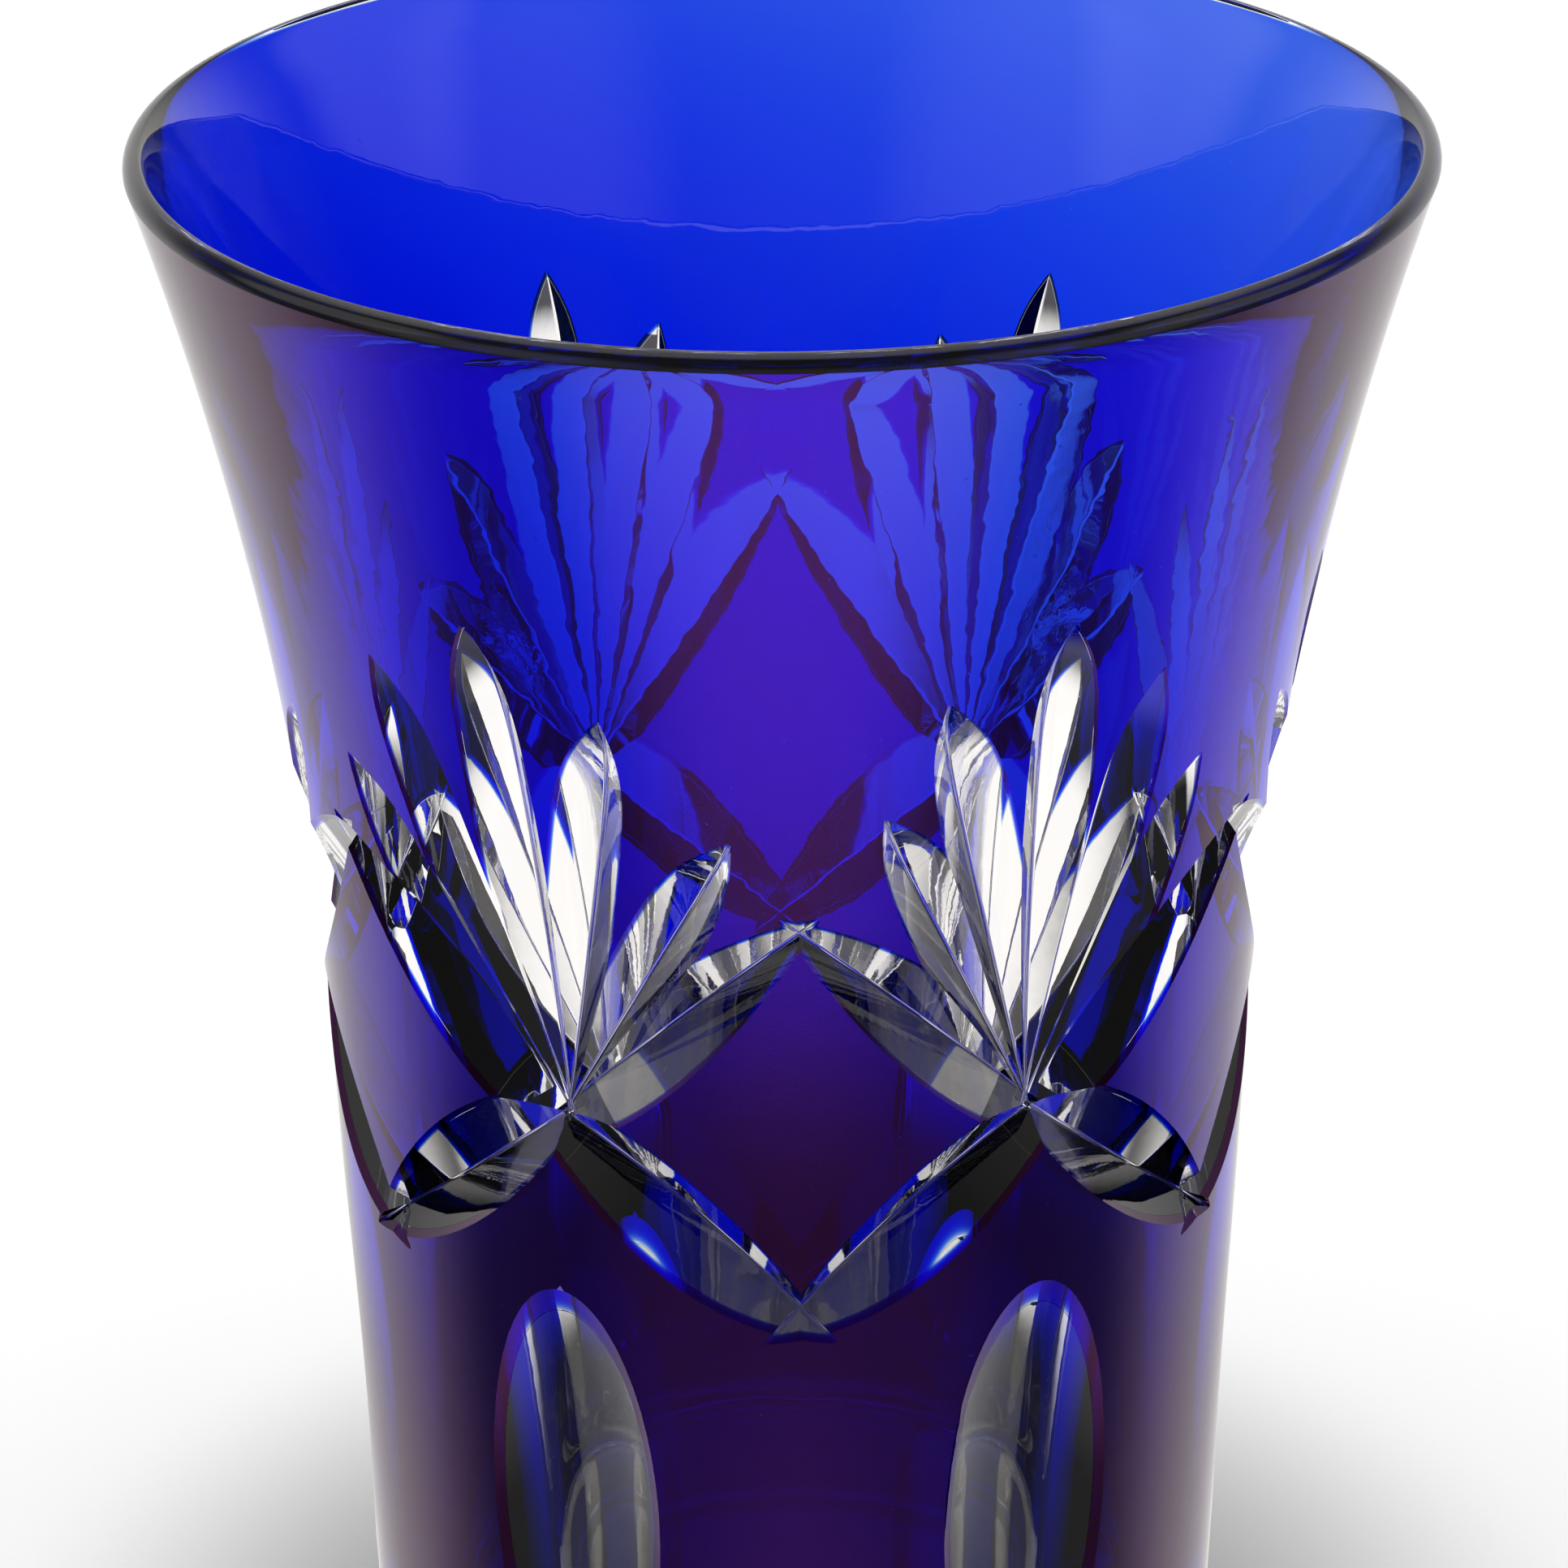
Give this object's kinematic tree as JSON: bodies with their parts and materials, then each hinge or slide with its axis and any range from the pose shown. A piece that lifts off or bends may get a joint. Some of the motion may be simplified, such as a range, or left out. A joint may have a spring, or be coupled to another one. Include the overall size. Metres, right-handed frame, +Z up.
{
  "type": "cut crystal vase",
  "caption": "Flared cut crystal vase, clear glass cased in cobalt blue, with mitre-cut diamonds and leaf fans above tall oval flutes.",
  "frame": {"origin": "centre of the flat base, on the surface that the vase stands on", "axes": "+Z up along the vase's axis of revolution; -Y towards the middle of diamond panel 1"},
  "size_m": [0.15, 0.15, 0.205],
  "materials": {
    "clear_crystal": "clear lead crystal, wheel cut and polished",
    "blue_collar_glass": "thin transparent cobalt blue overlay, fire polished",
    "blue_panel_glass": "thin transparent cobalt blue overlay, fire polished",
    "blue_skirt_glass": "thin transparent cobalt blue overlay, fire polished"
  },
  "bodies": {
    "root": {"crystal_core": "clear_crystal", "collar_casing": "blue_collar_glass", "diamond_panel_1": "blue_panel_glass", "diamond_panel_2": "blue_panel_glass", "diamond_panel_3": "blue_panel_glass", "diamond_panel_4": "blue_panel_glass", "diamond_panel_5": "blue_panel_glass", "diamond_panel_6": "blue_panel_glass", "skirt_casing": "blue_skirt_glass"}
  },
  "joints": []
}
